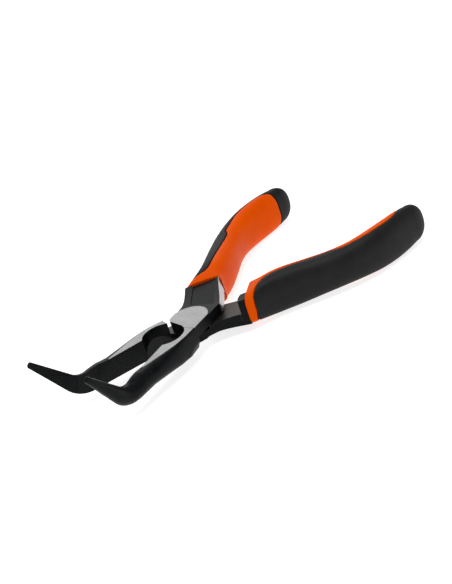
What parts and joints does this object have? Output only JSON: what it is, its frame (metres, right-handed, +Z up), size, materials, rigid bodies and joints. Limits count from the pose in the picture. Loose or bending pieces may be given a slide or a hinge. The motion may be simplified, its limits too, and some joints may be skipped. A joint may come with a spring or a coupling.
{
  "type": "needle nose pliers",
  "caption": "Long bent half-round jaws with side cutters on a riveted lap joint, sprung open, with contoured two-part handles.",
  "frame": {"origin": "bottom centre of the box round the tool as it lies flat with its tips pointing up", "axes": "+Y from the handles towards the jaw tips, +Z up along the rivet, in the direction that the tips bend"},
  "size_m": [0.1006, 0.1903, 0.0326],
  "materials": {
    "forged_steel": "black phosphated forging with ground bright faces",
    "rivet_steel": "ground",
    "spring_steel": "drawn wire",
    "handle_core": "satin moulded",
    "grip_elastomer": "matte moulded"
  },
  "bodies": {
    "upper": {"upper_half": "forged_steel", "upper_handle_body": "handle_core", "upper_handle_grip": "grip_elastomer", "pivot_rivet": "rivet_steel", "return_spring": "spring_steel"},
    "lower": {"lower_half": "forged_steel", "lower_handle_body": "handle_core", "lower_handle_grip": "grip_elastomer"}
  },
  "joints": [
    {"name": "jaw_pivot", "type": "hinge", "parent": "upper", "child": "lower", "pos_m": [0, 0.0161, 0.01013], "axis": [0, 0, 1], "range_deg": [0, 27.6], "stiffness_Nm_per_rad": 0.3, "springref_deg": -28.65}
  ]
}
